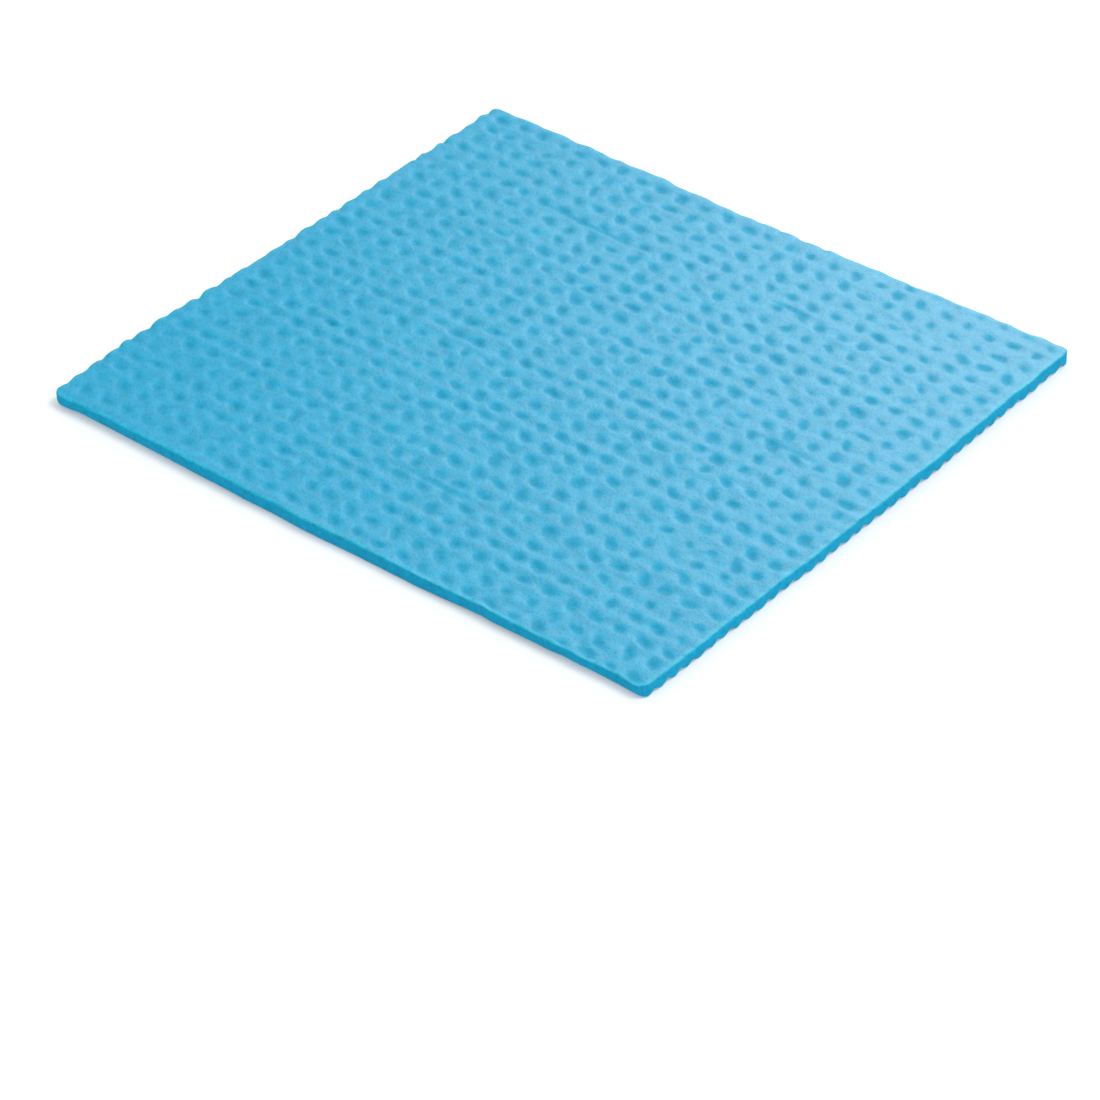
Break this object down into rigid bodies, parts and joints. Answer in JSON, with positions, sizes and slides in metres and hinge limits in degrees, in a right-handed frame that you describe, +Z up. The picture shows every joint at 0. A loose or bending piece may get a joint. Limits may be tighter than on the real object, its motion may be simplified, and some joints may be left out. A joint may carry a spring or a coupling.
{
  "type": "sponge cloth",
  "caption": "Flat rectangular cellulose sponge cloth, with soft pits in rows on its upper face and rounded ribs underneath.",
  "frame": {"origin": "under the middle of the cloth, on the plane that its rib crests lie on", "axes": "+X along the ribs and the long side, +Y across the ribs, +Z up out of the pitted face"},
  "size_m": [0.2, 0.18, 0.004],
  "materials": {
    "cellulose": "matte dry cellulose sponge with fine open pores, dyed through in light blue"
  },
  "bodies": {
    "root": {"sponge_cloth": "cellulose"}
  },
  "joints": []
}
